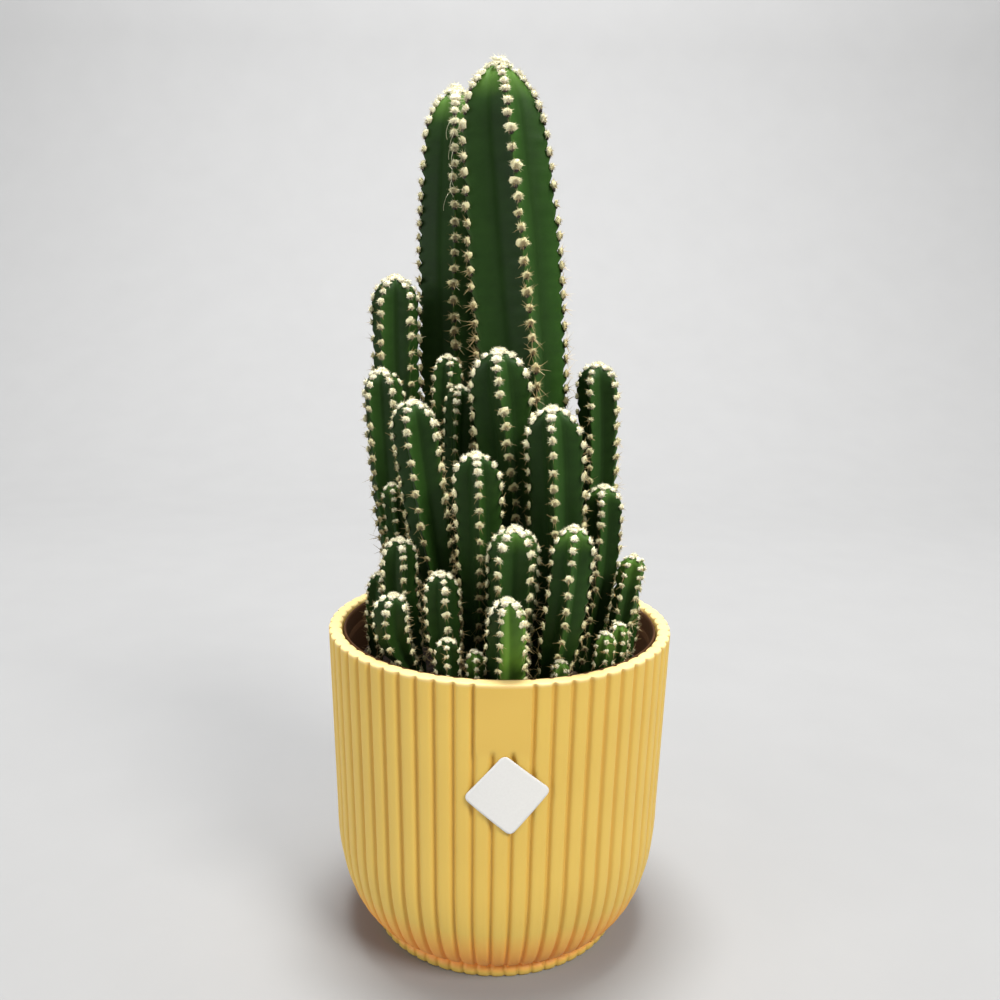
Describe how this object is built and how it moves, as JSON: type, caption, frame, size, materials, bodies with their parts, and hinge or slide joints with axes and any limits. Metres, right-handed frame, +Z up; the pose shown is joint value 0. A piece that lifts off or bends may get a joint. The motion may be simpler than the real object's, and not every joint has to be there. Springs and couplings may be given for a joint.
{
  "type": "potted florida cereus",
  "caption": "Clump of upright five-ribbed cactus stems with woolly areoles and short spines, growing in a nursery pot set inside a ribbed yellow cover pot.",
  "frame": {"origin": "centre of the cover pot's underside, on the surface that it stands on", "axes": "+Z up; the pot's plain panel and its label face -Y"},
  "size_m": [0.0908, 0.0956, 0.2255],
  "materials": {
    "yellow_plastic": "matte moulded, cream yellow",
    "white_paper": "blank white sticker",
    "brown_plastic": "thin vacuum-formed, dark brown",
    "potting_soil": "loose dark potting soil",
    "old_skin": "dark waxy green skin with woolly tufts",
    "green_skin": "waxy green skin with woolly tufts",
    "young_skin": "bright young green skin with woolly tufts"
  },
  "bodies": {
    "root": {"cover_pot": "yellow_plastic", "label": "white_paper", "nursery_pot": "brown_plastic", "soil": "potting_soil", "stem_main": "old_skin", "stem_back_tall": "old_skin", "stem_left_tall": "green_skin", "stem_left_lean": "green_skin", "stem_left_mid": "green_skin", "stem_slot_back": "green_skin", "stem_slot_front": "green_skin", "stem_centre": "green_skin", "stem_right_mid": "green_skin", "stem_right_tall": "green_skin", "stem_front_left": "green_skin", "stem_right_lean": "green_skin", "stem_front_mid": "green_skin", "stem_front_right": "green_skin", "stem_left_low": "young_skin", "stem_front_low": "young_skin", "stem_left_front": "young_skin", "stem_short_bright": "young_skin", "stem_right_edge": "young_skin", "stem_short_left": "young_skin", "stem_short_right": "young_skin", "stem_short_far": "young_skin", "stem_tiny_left": "young_skin", "stem_tiny_mid": "young_skin", "stem_left_thin": "green_skin", "stem_rear_a": "green_skin", "stem_rear_b": "green_skin", "stem_rear_c": "green_skin", "stem_rear_d": "green_skin", "stem_rear_e": "young_skin", "stem_left_edge": "young_skin", "stem_rear_f": "young_skin", "stem_rear_h": "young_skin", "stem_right_low": "young_skin", "stem_rear_i": "young_skin"}
  },
  "joints": []
}
